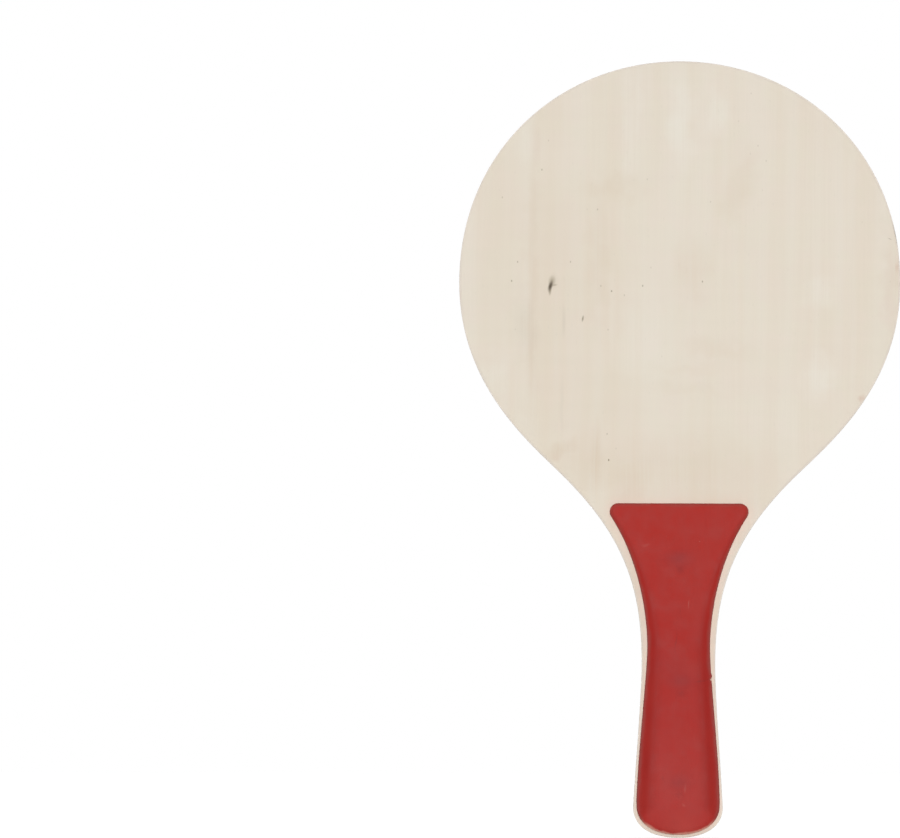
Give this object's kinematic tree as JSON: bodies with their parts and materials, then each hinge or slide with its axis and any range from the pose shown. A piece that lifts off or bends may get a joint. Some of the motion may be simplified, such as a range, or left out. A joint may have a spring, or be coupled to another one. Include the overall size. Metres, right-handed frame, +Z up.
{
  "type": "beach bat",
  "caption": "Wooden beach bat: round plywood blade with a narrow waisted handle faced on both sides with red-painted wooden scales.",
  "frame": {"origin": "lowest point of the butt, in the middle of the blade's width and thickness", "axes": "+Z up the handle to the top of the head, +X across the blade to the right as seen from the front, the front face looks along -Y"},
  "size_m": [0.1876, 0.02, 0.33],
  "materials": {
    "face_wood": "pale bare plywood face, sanded, matt",
    "cross_wood": "bare veneer seen at its edge, matt",
    "core_wood": "bare veneer seen at its edge, matt",
    "grip_paint": "wood under satin red paint",
    "brad_steel": "plain steel wire",
    "wood_filler": "dried filler under the paint"
  },
  "bodies": {
    "root": {"face_veneer_front": "face_wood", "crossband_front": "cross_wood", "core_veneer": "core_wood", "crossband_rear": "cross_wood", "face_veneer_rear": "face_wood", "handle_scale_front": "grip_paint", "handle_scale_rear": "grip_paint", "brad_front_upper": "brad_steel", "brad_front_middle": "brad_steel", "brad_front_lower": "brad_steel", "brad_rear_upper": "brad_steel", "brad_rear_middle": "brad_steel", "brad_rear_lower": "brad_steel", "filler_front_upper": "wood_filler", "filler_front_middle": "wood_filler", "filler_front_lower": "wood_filler", "filler_rear_upper": "wood_filler", "filler_rear_middle": "wood_filler", "filler_rear_lower": "wood_filler"}
  },
  "joints": []
}
